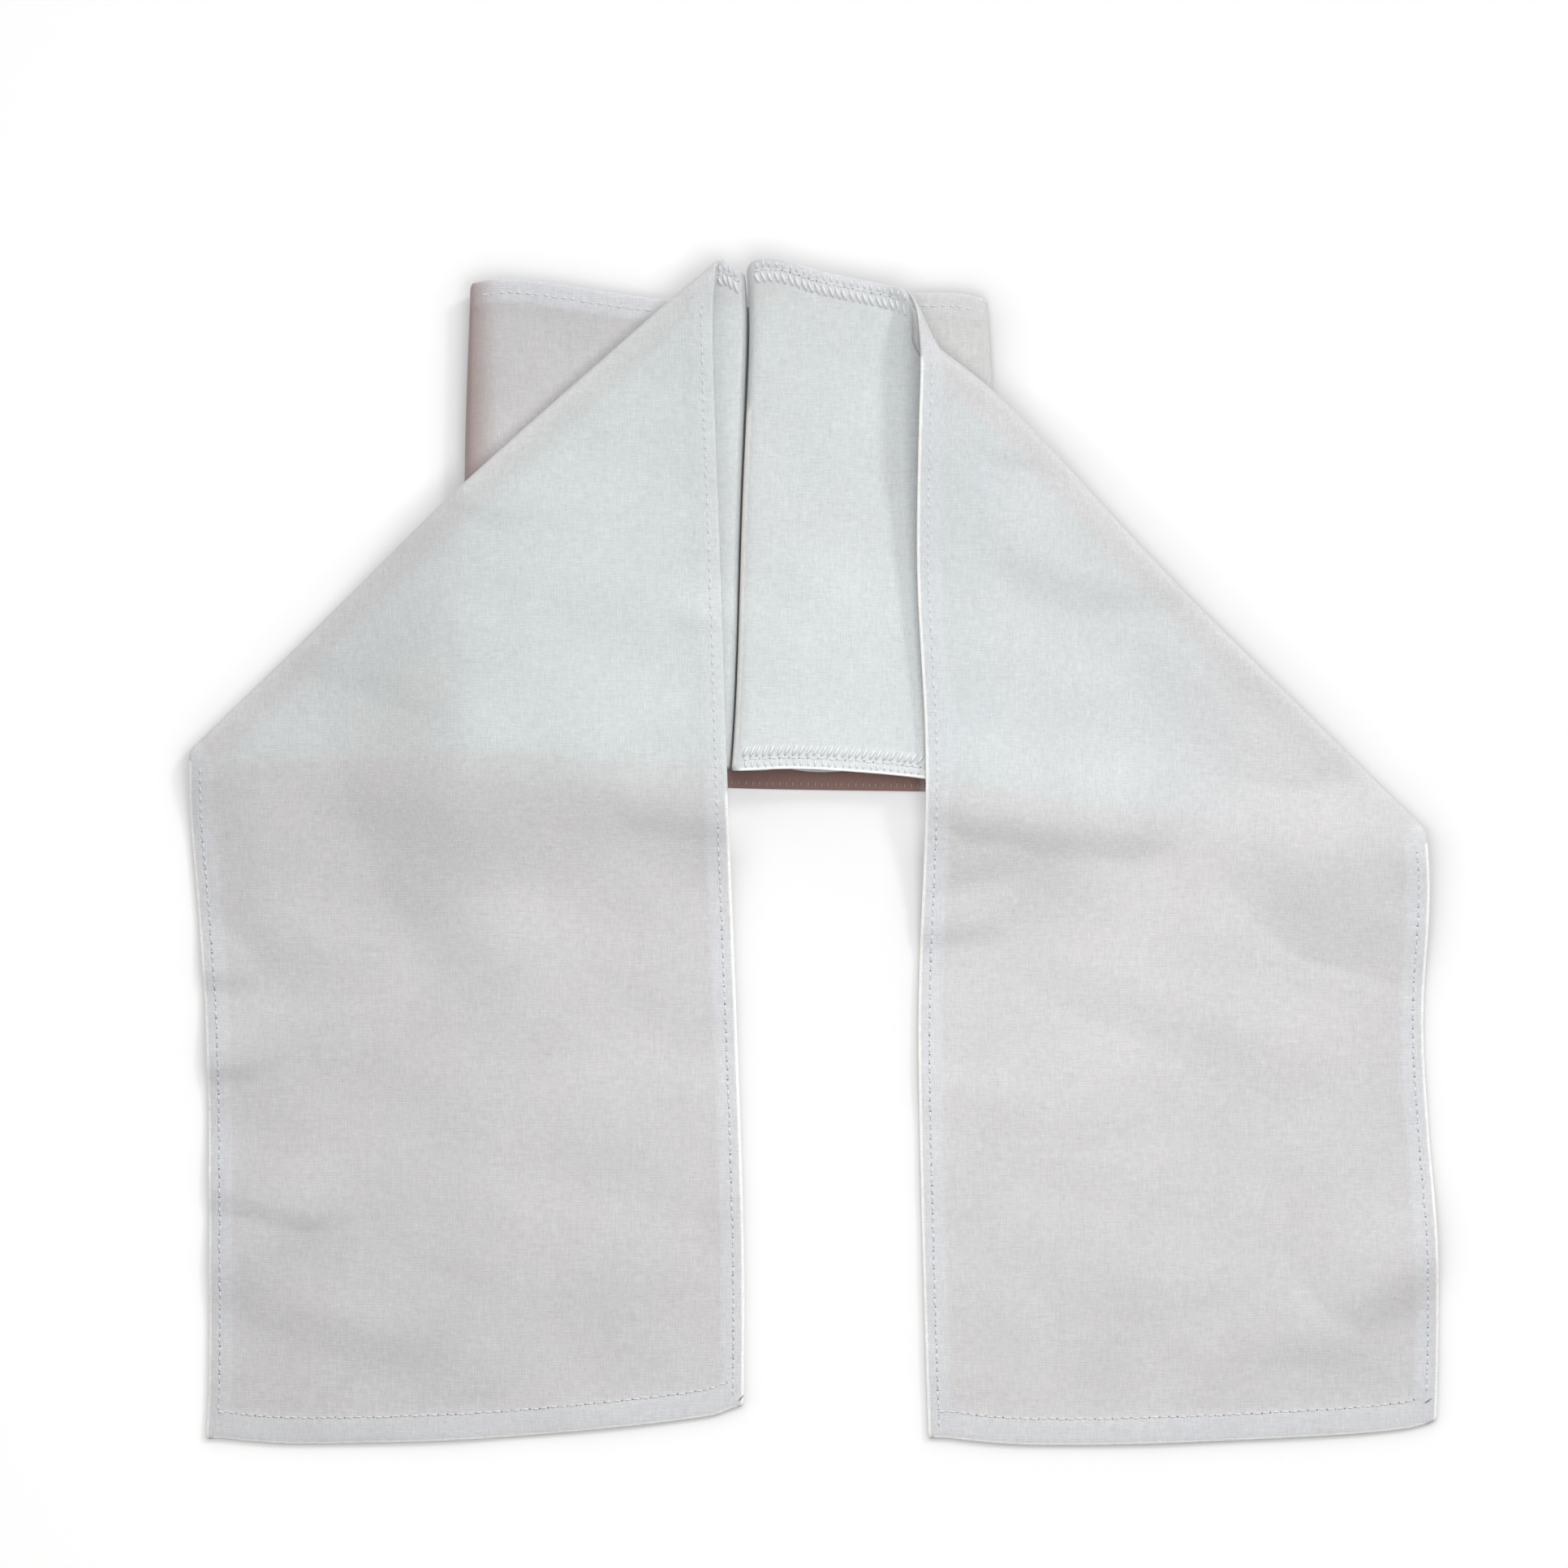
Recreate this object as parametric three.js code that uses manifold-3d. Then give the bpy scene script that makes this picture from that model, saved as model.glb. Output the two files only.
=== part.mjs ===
// A baptismal stole of plain white cloth, folded and laid flat.
//
// One strip of cloth, hemmed all round, lies in four layers. The middle of the strip, the back of
// the neck, lies lowest with its right side down. It turns over at a soft fold on the left and on
// the right, runs back to the centre, and turns over again there. The two bands that leave the
// centre show their wrong side. Each band turns over once more along a slanting fold, and hangs
// down from it as a front panel, right side up, that ends in an end hem.
//
// +X is the viewer's right, +Y points from the end hems to the neck, and +Z is up. The stole lies
// on z = 0, under the middle of its own box. Lengths are in millimetres.
import * as THREE from "three";
import { mergeVertices } from "three/addons/utils/BufferGeometryUtils.js";
import Module from "manifold-3d";

// Cloth and hems.
const CLOTH = 1.0; // thickness of one layer
const LAYER_GAP = 1.0; // air between layers that lie on each other
const SEAM_GAP = 0.86; // between two pieces of the strip that meet edge to edge
const SIDE_HEM = 6.3; // width of the turned hem along both long edges
const END_HEM = 7.0; // depth of the turned hem at the two ends
const HEM_RISE = 0.35; // a hem is this much thicker than the cloth
const HEM_STEP = 1.4; // width of the slope from hem to cloth
const HEM_COLUMN = 2.4; // the wall has a column this far inside a hemmed edge

const HALF = CLOTH / 2;
const LAYER = CLOTH + LAYER_GAP; // from the middle of one layer to the middle of the next

// Outlines of the two front panels, seen from above. outer and inner give an edge's x at a y. fold
// gives the y of the slanting fold at a share of the width, 0 at the outer edge and 1 at the inner
// one, with the radius of the fold there. end gives the y of the end hem at that share. lift is how
// far the inner edge stands clear of the layer below it.
const PANELS = {
  left: {
    outer: [
      { y: -158, x: -163.3 },
      { y: -140, x: -162.4 },
      { y: -60, x: -162.7 },
      { y: -37, x: -163.7 },
      { y: -11, x: -165.7 },
      { y: 10, x: -167.4 },
      { y: 30, x: -167.2 },
    ],
    inner: [
      { y: -150, x: -18.9 },
      { y: -111, x: -18.8 },
      { y: -80, x: -19.6 },
      { y: -33, x: -21.3 },
      { y: 11, x: -23.0 },
      { y: 63, x: -24.6 },
      { y: 106, x: -26.1 },
      { y: 141, x: -27.2 },
      { y: 156, x: -26.3 },
    ],
    fold: [
      { share: 0, y: 25.0, radius: 1.3 },
      { share: 0.2, y: 52.4, radius: 1.4 },
      { share: 0.45, y: 86.6, radius: 1.5 },
      { share: 0.66, y: 113.3, radius: 1.6 },
      { share: 0.86, y: 137.6, radius: 1.6 },
      { share: 1, y: 155.3, radius: 1.5 },
    ],
    end: [
      { share: 0, y: -157.4 },
      { share: 0.023, y: -156.9 },
      { share: 0.1, y: -158.4 },
      { share: 0.22, y: -158.6 },
      { share: 0.46, y: -157.7 },
      { share: 0.7, y: -155.1 },
      { share: 0.944, y: -151.0 },
      { share: 0.973, y: -148.9 },
      { share: 1, y: -148.4 },
    ],
    lift: [
      { y: 20, up: 0 },
      { y: 90, up: 0.8 },
      { y: 156, up: 1.2 },
    ],
    twist: 1.0,
  },
  right: {
    outer: [
      { y: -152, x: 166.5 },
      { y: -125, x: 167.1 },
      { y: -98, x: 166.3 },
      { y: -72, x: 164.3 },
      { y: -46, x: 163.0 },
      { y: -11, x: 164.3 },
      { y: 4, x: 163.4 },
    ],
    inner: [
      { y: -157, x: 30.2 },
      { y: -120, x: 29.0 },
      { y: -72, x: 27.8 },
      { y: -40, x: 27.5 },
      { y: 10, x: 29.3 },
      { y: 34, x: 29.1 },
      { y: 74, x: 26.9 },
      { y: 110, x: 27.2 },
      { y: 131, x: 27.8 },
      { y: 139, x: 27.3 },
    ],
    fold: [
      { share: 0, y: 3.6, radius: 1.3 },
      { share: 0.21, y: 31.0, radius: 1.4 },
      { share: 0.47, y: 66.3, radius: 1.5 },
      { share: 0.71, y: 101.0, radius: 1.6 },
      { share: 0.86, y: 121.2, radius: 1.7 },
      { share: 0.92, y: 127.9, radius: 2.0 },
      { share: 0.96, y: 131.0, radius: 2.7 },
      { share: 1, y: 138.5, radius: 4.5 },
    ],
    end: [
      { share: 0, y: -152.3 },
      { share: 0.027, y: -153.4 },
      { share: 0.082, y: -155.1 },
      { share: 0.27, y: -156.8 },
      { share: 0.53, y: -158.4 },
      { share: 0.75, y: -159.0 },
      { share: 0.908, y: -158.2 },
      { share: 0.967, y: -156.8 },
      { share: 1, y: -157.1 },
    ],
    lift: [
      { y: 18, up: 0 },
      { y: 32, up: 0.4 },
      { y: 54, up: 1.3 },
      { y: 76, up: 2.6 },
      { y: 96, up: 4.6 },
      { y: 108, up: 6.4 },
      { y: 120, up: 7.1 },
      { y: 139, up: 7.1 },
    ],
    twist: 1.45,
  },
};
// Soft ridges in the front panels, where the cloth stands clear of what it lies on. A ridge runs
// from one place to another and fades out over its width, and round its ends.
const RIDGES = [
  { fromX: -99, fromY: 2, toX: -80, toY: -38, width: 17, rise: 1.0 },
  { fromX: -80, fromY: -38, toX: -54, toY: -70, width: 15, rise: 0.8 },
  { fromX: -168, fromY: -50, toX: -146, toY: -52, width: 13, rise: 1.2 },
  { fromX: -166, fromY: -112, toX: -132, toY: -96, width: 14, rise: 0.9 },
  { fromX: -34, fromY: 60, toX: -18, toY: 54, width: 16, rise: 0.9 },
  { fromX: 30, fromY: -12, toX: 84, toY: -9, width: 12, rise: 1.1 },
  { fromX: 168, fromY: -104, toX: 138, toY: -128, width: 15, rise: 1.3 },
  { fromX: 168, fromY: -4, toX: 130, toY: 4, width: 22, rise: 1.2 },
  { fromX: 92, fromY: 58, toX: 62, toY: 30, width: 15, rise: 0.8 },
];
const FOLD_LIP = 5.0; // cloth that a panel keeps below its slanting fold
const LEAST_TAIL = 0.3; // cloth that it keeps past the turn of the fold at its inner edge
const TAIL_GROWTH = 1000; // and how much more, times the square of the share from that edge
const TAIL_END = 0.5; // length of the last bit of it
const FOLD_ROWS = [3, 7.5]; // extra rows of a panel this far below its fold
const SHARE_STEP = 0.02; // the fold's direction is taken over this share of the width
const LIFT_REACH = 34; // the lifted inner edge comes down again over this width
const PUFF_REACH = 13; // a slanting fold's roundness fades over this length
const PANEL_STEP = 10.5; // spacing of a panel's columns
const PANEL_ROWS = 22;

// The neck: the lowest two layers. A row is a station along the strip's upper layer there, with the
// height of the middle of the cloth and the y of its two long edges.
const NECK_UPPER = [
  { x: -91.0, z: 5.8, bottom: 20.4, top: 152.0 },
  { x: -86.0, z: 5.6, bottom: 20.5, top: 153.2 },
  { x: -78.0, z: 5.0, bottom: 20.6, top: 153.2 },
  { x: -66.0, z: 4.3, bottom: 20.9, top: 151.6 },
  { x: -52.0, z: 3.7, bottom: 21.1, top: 149.3 },
  { x: -38.0, z: 3.4, bottom: 21.4, top: 147.5 },
  { x: -30.0, z: 3.3, bottom: 21.6, top: 148.6 },
  { x: -9.0, z: 3.3, bottom: 22.4, top: 148.6 },
  { x: 0.5, z: 3.35, bottom: 21.0, top: 148.2 },
  { x: 9.0, z: 3.5, bottom: 21.9, top: 148.3 },
  { x: 18.0, z: 3.7, bottom: 21.4, top: 149.0 },
  { x: 31.0, z: 4.3, bottom: 19.8, top: 149.9 },
  { x: 40.0, z: 4.7, bottom: 18.4, top: 149.4 },
  { x: 45.0, z: 4.9, bottom: 17.2, top: 148.0 },
];
// The layer on the surface: the y of its two long edges at an x.
const NECK_LOWER = [
  { x: -91.0, bottom: 20.4, top: 149.6 },
  { x: -60.0, bottom: 18.8, top: 147.6 },
  { x: -23.0, bottom: 17.1, top: 146.2 },
  { x: 0.0, bottom: 16.6, top: 146.2 },
  { x: 29.0, bottom: 16.2, top: 146.8 },
  { x: 45.0, bottom: 15.7, top: 146.2 },
];
// The x of the neck's two side folds at a y.
const NECK_LEFT_FOLD = [
  { y: 20, x: -94.3 },
  { y: 106, x: -93.7 },
  { y: 149, x: -92.2 },
];
const NECK_RIGHT_FOLD = [
  { y: 16, x: 49.0 },
  { y: 124, x: 47.8 },
  { y: 148, x: 46.2 },
];
const CHANNEL = { left: -30.0, right: -9.0 }; // the neck's upper layer stops at these x
const CORE_INSET = 13; // the hidden inside of the neck is solid from here inwards
const NECK_STEP = 11;
const LIP_Z = 3.3; // the bands' lips lie in the channel at this height

// The bands that lie on the neck. height is the middle of the cloth at an x. centre is the x of the
// centre fold's outer face at a y, bottom and top are the long edges' y at an x, and radius is the
// centre fold's.
const BANDS = {
  left: {
    height: [
      { x: -94, z: 8.9 },
      { x: -86, z: 8.2 },
      { x: -72, z: 7.1 },
      { x: -54, z: 6.0 },
      { x: -40, z: 5.8 },
      { x: -30, z: 6.2 },
      { x: -22, z: 6.5 },
    ],
    centre: [
      { y: 22, x: -22.75 },
      { y: 54, x: -21.15 },
      { y: 93, x: -19.85 },
      { y: 136, x: -18.0 },
      { y: 158, x: -18.75 },
    ],
    bottom: [
      { x: -160, y: 30.5 },
      { x: -92, y: 30.0 },
      { x: -60, y: 26.5 },
      { x: -23, y: 23.0 },
    ],
    top: [
      { x: -26.0, y: 158.9 },
      { x: -23.6, y: 157.9 },
      { x: -21.0, y: 155.4 },
    ],
    turnedTop: 152.4,
    turnedBottom: 21.8,
    radius: 1.6,
  },
  right: {
    height: [
      { x: -18, z: 9.7 },
      { x: -6, z: 8.9 },
      { x: 8, z: 7.5 },
      { x: 20, z: 6.7 },
      { x: 31, z: 6.5 },
      { x: 40, z: 7.1 },
      { x: 49, z: 7.9 },
    ],
    centre: [
      { y: 22, x: -22.4 },
      { y: 54, x: -20.8 },
      { y: 93, x: -19.5 },
      { y: 136, x: -17.5 },
      { y: 158, x: -18.4 },
    ],
    bottom: [
      { x: -21, y: 21.6 },
      { x: -8, y: 22.6 },
      { x: 10, y: 22.1 },
      { x: 29, y: 20.9 },
      { x: 75, y: 14.0 },
      { x: 157, y: 9.2 },
    ],
    top: [
      { x: -14, y: 158.3 },
      { x: -7.6, y: 158.1 },
      { x: -2.7, y: 156.2 },
      { x: 2.6, y: 154.6 },
      { x: 14, y: 152.4 },
      { x: 25, y: 150.2 },
    ],
    turnedTop: 152.4,
    turnedBottom: 21.8,
    radius: 2.9,
  },
};
const BAND_ROWS = 17; // rows from the slanting fold to the centre fold
const BAND_WIDTH = 135;
const EDGE_POWER = 4; // how little the cloth inside a band follows the band's long edges
const CREASED = 0.55; // a centre fold's flatness: 1 is round, and less is pressed flatter

// How cloth that runs off the neck comes down to the surface: it starts before the neck's edge and
// touches down this far beyond it.
const FALL_START = 3;
const BAND_FALL = 24;
const PANEL_FALL = 38;
const BAND_EDGE_FALL = { from: 9, to: 23 }; // the panel's way down off a band's long edge

const TURN_STEPS = 6; // flat faces round a fold
const WHITE_CLOTH = new THREE.MeshStandardMaterial({
  color: 0xd9dcdc,
  roughness: 0.85,
  metalness: 0,
});

const { lerp, smoothstep } = THREE.MathUtils;
const fade = (distance, from, to) => 1 - smoothstep(distance, from, to);

// A smooth function through a table's rows: the value in one column at a value of another.
function sampler(table, from, to) {
  const rows = [...table].sort((a, b) => a[from] - b[from]);
  const at = rows.map((row) => row[from]);
  const value = rows.map((row) => row[to]);
  const last = at.length - 1;
  const slope = value.map((_, i) => {
    const before = Math.max(i - 1, 0);
    const after = Math.min(i + 1, last);
    return (value[after] - value[before]) / (at[after] - at[before]);
  });
  return (x) => {
    if (x <= at[0]) return value[0];
    if (x >= at[last]) return value[last];
    const i = at.findIndex((a) => a > x) - 1;
    const span = at[i + 1] - at[i];
    const t = (x - at[i]) / span;
    const ease = t * t * (3 - 2 * t);
    const bend = t * (1 - t) * span;
    return (
      lerp(value[i], value[i + 1], ease) + bend * ((1 - t) * slope[i] - t * slope[i + 1])
    );
  };
}

// Distances across a hemmed strip: close together over the hems, even between them.
function acrossStrip(width, step) {
  const edge = [0, HEM_COLUMN, SIDE_HEM, SIDE_HEM + HEM_STEP];
  const far = edge.map((d) => width - d).reverse();
  const inside = far[0] - edge[3];
  const count = Math.round(inside / step);
  const middle = Array.from({ length: count - 1 }, (_, i) => edge[3] + ((i + 1) * inside) / count);
  return [...edge, ...middle, ...far];
}

// Extra thickness at a distance from a hemmed edge.
const hemRise = (distance, depth) => HEM_RISE * fade(distance, depth, depth + HEM_STEP);

function solidGeometry(points, index) {
  return new THREE.BufferGeometry()
    .setAttribute(
      "position",
      new THREE.Float32BufferAttribute(points.flatMap((p) => p.toArray()), 3),
    )
    .setIndex(index);
}

// A closed wall round a grid of points in the middle of the cloth. Its outer face is the one that
// rows x columns turn towards, and rise makes that face thicker.
function wallGeometry(grid, rise) {
  const rows = grid.length;
  const columns = grid[0].length;
  const outer = [];
  const inner = [];
  for (let i = 0; i < rows; i++) {
    for (let j = 0; j < columns; j++) {
      const across = grid[i][Math.min(j + 1, columns - 1)]
        .clone()
        .sub(grid[i][Math.max(j - 1, 0)])
        .normalize();
      const along = grid[Math.min(i + 1, rows - 1)][j]
        .clone()
        .sub(grid[Math.max(i - 1, 0)][j])
        .normalize();
      const normal = across.cross(along).normalize();
      outer.push(grid[i][j].clone().addScaledVector(normal, HALF + rise(i, j)));
      inner.push(grid[i][j].clone().addScaledVector(normal, -HALF));
    }
  }
  const count = rows * columns;
  const index = [];
  const points = [...outer, ...inner];
  const quad = (a, b, c, d) => {
    if (points[a].distanceTo(points[c]) < points[b].distanceTo(points[d])) {
      index.push(a, b, c, a, c, d);
    } else {
      index.push(a, b, d, b, c, d);
    }
  };
  for (let i = 0; i < rows - 1; i++) {
    for (let j = 0; j < columns - 1; j++) {
      const a = i * columns + j;
      const b = a + columns;
      quad(a, a + 1, b + 1, b);
      quad(count + a, count + b, count + b + 1, count + a + 1);
    }
  }
  const rim = [];
  for (let j = 0; j < columns; j++) rim.push(j);
  for (let i = 1; i < rows; i++) rim.push(i * columns + columns - 1);
  for (let j = columns - 2; j >= 0; j--) rim.push((rows - 1) * columns + j);
  for (let i = rows - 2; i > 0; i--) rim.push(i * columns);
  rim.forEach((a, k) => {
    const b = rim[(k + 1) % rim.length];
    quad(a, count + a, count + b, b);
  });
  return solidGeometry(points, index);
}

const neckLeft = sampler(NECK_LEFT_FOLD, "y", "x");
const neckRight = sampler(NECK_RIGHT_FOLD, "y", "x");
const neckBottom = sampler(NECK_LOWER, "x", "bottom");
const neckTop = sampler(NECK_LOWER, "x", "top");

// How far a place lies outside the neck, past its side fold or its lower edge.
function outsideNeck(side, x, y) {
  const past = side === "left" ? neckLeft(y) - x : x - neckRight(y);
  const below = neckBottom(x) - y;
  return past > 0 && below > 0 ? Math.hypot(past, below) : Math.max(past, below);
}

// The middle of a band's cloth, and of a front panel's, above a place on the surface.
const bandHeight = {
  left: sampler(BANDS.left.height, "x", "z"),
  right: sampler(BANDS.right.height, "x", "z"),
};
const bandBottom = {
  left: sampler(BANDS.left.bottom, "x", "y"),
  right: sampler(BANDS.right.bottom, "x", "y"),
};
function bandZ(side, x, y) {
  const over = bandHeight[side](x) - HALF;
  return HALF + over * fade(outsideNeck(side, x, y), -FALL_START, BAND_FALL);
}
function panelZ(side, x, y) {
  const over = bandHeight[side](x) - HALF;
  const onNeck = over * fade(outsideNeck(side, x, y), -FALL_START, PANEL_FALL);
  return HALF + onNeck + LAYER * fade(bandBottom[side](x) - y, BAND_EDGE_FALL.from, BAND_EDGE_FALL.to);
}

// How high the ridges lift a panel at a place.
function ridgeZ(x, y) {
  const lifts = RIDGES.map((ridge) => {
    const alongX = ridge.toX - ridge.fromX;
    const alongY = ridge.toY - ridge.fromY;
    const length = Math.hypot(alongX, alongY);
    const share = ((x - ridge.fromX) * alongX + (y - ridge.fromY) * alongY) / length ** 2;
    const near = THREE.MathUtils.clamp(share, 0, 1);
    const distance = Math.hypot(
      x - lerp(ridge.fromX, ridge.toX, near),
      y - lerp(ridge.fromY, ridge.toY, near),
    );
    return ridge.rise * fade(distance, 0, ridge.width);
  });
  return Math.max(...lifts);
}

// The plan of a front panel and its slanting fold. A share is 0 at the panel's outer long edge and
// 1 at its inner one.
function panelPlan(side) {
  const table = PANELS[side];
  const outer = sampler(table.outer, "y", "x");
  const inner = sampler(table.inner, "y", "x");
  const foldY = sampler(table.fold, "share", "y");
  const radius = sampler(table.fold, "share", "radius");
  const lift = sampler(table.lift, "y", "up");
  const width = Math.abs(outer(0) - inner(0));
  const at = (share, y) => new THREE.Vector2(lerp(outer(y), inner(y), share), y);
  const axis = (share) => at(share, foldY(share));
  const along = (share) =>
    axis(Math.min(share + SHARE_STEP, 1))
      .sub(axis(Math.max(share - SHARE_STEP, 0)))
      .normalize();
  // Square to the fold, from the panel outwards.
  const away = (share) => {
    const t = along(share);
    return side === "left" ? new THREE.Vector2(-t.y, t.x) : new THREE.Vector2(t.y, -t.x);
  };
  // The panel's cloth at a share and a y.
  const clothAt = (share, y) => {
    const { x } = at(share, y);
    const puff = (2 * radius(share) - LAYER) * fade(foldY(share) - y, 0, PUFF_REACH);
    const lifted = lift(y) * Math.max(0, 1 - ((1 - share) * width) / LIFT_REACH) ** 2;
    const clear = Math.max(puff, lifted, ridgeZ(x, y));
    return new THREE.Vector3(x, y, panelZ(side, x, y) + clear);
  };
  // A place on the fold, an angle round it from its upper side, or flat below it. Cloth moves along
  // a slanting fold while it goes round it.
  const place = (share, angle, flat = 0) =>
    axis(share)
      .addScaledVector(along(share), radius(share) * table.twist * angle)
      .addScaledVector(away(share), radius(share) * Math.sin(angle) - flat);
  const quarter = (share) => (Math.PI / 2) * radius(share);
  // The angle, and what lies flat, at a length of cloth past the turn of the fold.
  const angleAt = (share, length) => Math.min(Math.PI, Math.PI / 2 + length / radius(share));
  const flatAt = (share, length) => Math.max(0, length - quarter(share));
  const placeAt = (share, length) => place(share, angleAt(share, length), flatAt(share, length));
  // How much cloth the panel keeps past the turn.
  const tail = (share) =>
    Math.min(quarter(share) + FOLD_LIP, LEAST_TAIL + TAIL_GROWTH * (1 - share) ** 2);
  const lowerZ = (share) => {
    const { x, y } = placeAt(share, tail(share));
    return bandZ(side, x, y);
  };
  // How high the cloth stands above the lower layer at an angle.
  const standing = (share, angle) =>
    ((clothAt(share, foldY(share)).z - lowerZ(share)) * (1 + Math.cos(angle))) / 2;
  const onFold = (share, angle, flat = 0) => {
    const { x, y } = place(share, angle, flat);
    return new THREE.Vector3(x, y, lowerZ(share) + standing(share, angle));
  };
  return {
    foldY,
    radius,
    twist: table.twist,
    width,
    clothAt,
    angleAt,
    flatAt,
    placeAt,
    tail,
    standing,
    onFold,
    end: sampler(table.end, "share", "y"),
  };
}

// A front panel: the lip under the slanting fold, the fold, and the panel down to its end hem.
function frontPanel(side) {
  const plan = panelPlan(side);
  const shares = acrossStrip(plan.width, PANEL_STEP).map((d) => d / plan.width);
  const endDistances = [END_HEM + HEM_STEP, END_HEM, HEM_COLUMN, 0];
  const columns = shares.map((share) => {
    const fold = plan.foldY(share);
    const end = plan.end(share);
    const tail = plan.tail(share);
    const firstAngle = plan.angleAt(share, tail - TAIL_END);
    const turn = Array.from({ length: TURN_STEPS + 1 }, (_, k) =>
      plan.onFold(share, (firstAngle * (TURN_STEPS - k)) / TURN_STEPS),
    );
    const first = fold - PUFF_REACH;
    const last = end + endDistances[0];
    const rows = Array.from({ length: PANEL_ROWS }, (_, k) => lerp(first, last, k / PANEL_ROWS));
    return [
      plan.onFold(share, plan.angleAt(share, tail), plan.flatAt(share, tail)),
      ...turn,
      ...FOLD_ROWS.map((d) => plan.clothAt(share, fold - d)),
      ...rows.map((y) => plan.clothAt(share, y)),
      ...endDistances.map((d) => plan.clothAt(share, end + d)),
    ];
  });
  const grid = columns[0].map((_, i) => columns.map((column) => column[i]));
  const endRow = grid.length - endDistances.length;
  return wallGeometry(facing(side, grid), (i, j) => {
    const atSide = hemRise(Math.min(shares[j], 1 - shares[j]) * plan.width, SIDE_HEM);
    if (i <= TURN_STEPS) return 0;
    return i < endRow ? atSide : Math.max(atSide, hemRise(endDistances[i - endRow], END_HEM));
  });
}

// A band: from the lip under the slanting fold to the centre fold, and round that to its own lip.
function innerBand(side) {
  const plan = panelPlan(side);
  const table = BANDS[side];
  const inwards = side === "left" ? 1 : -1;
  const centre = sampler(table.centre, "y", "x");
  const turnX = (y) => centre(y) - inwards * (table.radius + HALF);
  const bottom = bandBottom[side];
  const top = sampler(table.top, "x", "y");
  const distances = acrossStrip(BAND_WIDTH, NECK_STEP);
  const shares = distances.map((d) => d / BAND_WIDTH);
  const low = bottom(turnX(table.centre[0].y));
  const high = top(turnX(table.centre[table.centre.length - 1].y));
  const rows = [];
  for (let i = 0; i <= BAND_ROWS; i++) {
    const u = i / BAND_ROWS;
    rows.push(
      shares.map((v) => {
        const seam = plan.tail(v) + SEAM_GAP;
        const from = plan.placeAt(v, seam);
        const to = lerp(low, high, v);
        const x = lerp(from.x, turnX(to), u);
        // The two long edges follow their tables; the cloth between them shares the difference.
        const straight = lerp(from.y, to, u);
        const atBottom = u * (1 - v) ** EDGE_POWER * (bottom(x) - straight);
        const atTop = u * v ** EDGE_POWER * (top(x) - straight);
        const y = straight + atBottom + atTop;
        // The rest of the slanting fold comes down to the band within its own length.
        const run = plan.radius(v) * Math.hypot(1, plan.twist);
        const angle = plan.angleAt(v, seam) + from.distanceTo(new THREE.Vector2(x, y)) / run;
        return new THREE.Vector3(
          x,
          y,
          bandZ(side, x, y) + plan.standing(v, Math.min(angle, Math.PI)),
        );
      }),
    );
  }
  const upper = rows[BAND_ROWS];
  const lipY = (v) => lerp(table.turnedBottom, table.turnedTop, v);
  for (let k = 1; k <= TURN_STEPS; k++) {
    const angle = (Math.PI * k) / TURN_STEPS;
    rows.push(
      shares.map((v, j) => {
        const y = lerp(upper[j].y, lipY(v), k / TURN_STEPS);
        const x = upper[j].x + inwards * table.radius * Math.sin(angle) ** CREASED;
        return new THREE.Vector3(x, y, lerp(LIP_Z, upper[j].z, (1 + Math.cos(angle)) / 2));
      }),
    );
  }
  const lipX = side === "left" ? CHANNEL.left + SEAM_GAP : CHANNEL.right - SEAM_GAP;
  rows.push(shares.map((v) => new THREE.Vector3(lipX, lipY(v), LIP_Z)));
  return wallGeometry(facing(side, rows), (i, j) =>
    i <= BAND_ROWS ? hemRise(Math.min(distances[j], BAND_WIDTH - distances[j]), SIDE_HEM) : 0,
  );
}

// Turns a grid of the left half over, so that its outer face looks up as the right half's does.
function facing(side, grid) {
  return side === "left" ? grid.map((row) => [...row].reverse()) : grid;
}

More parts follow.
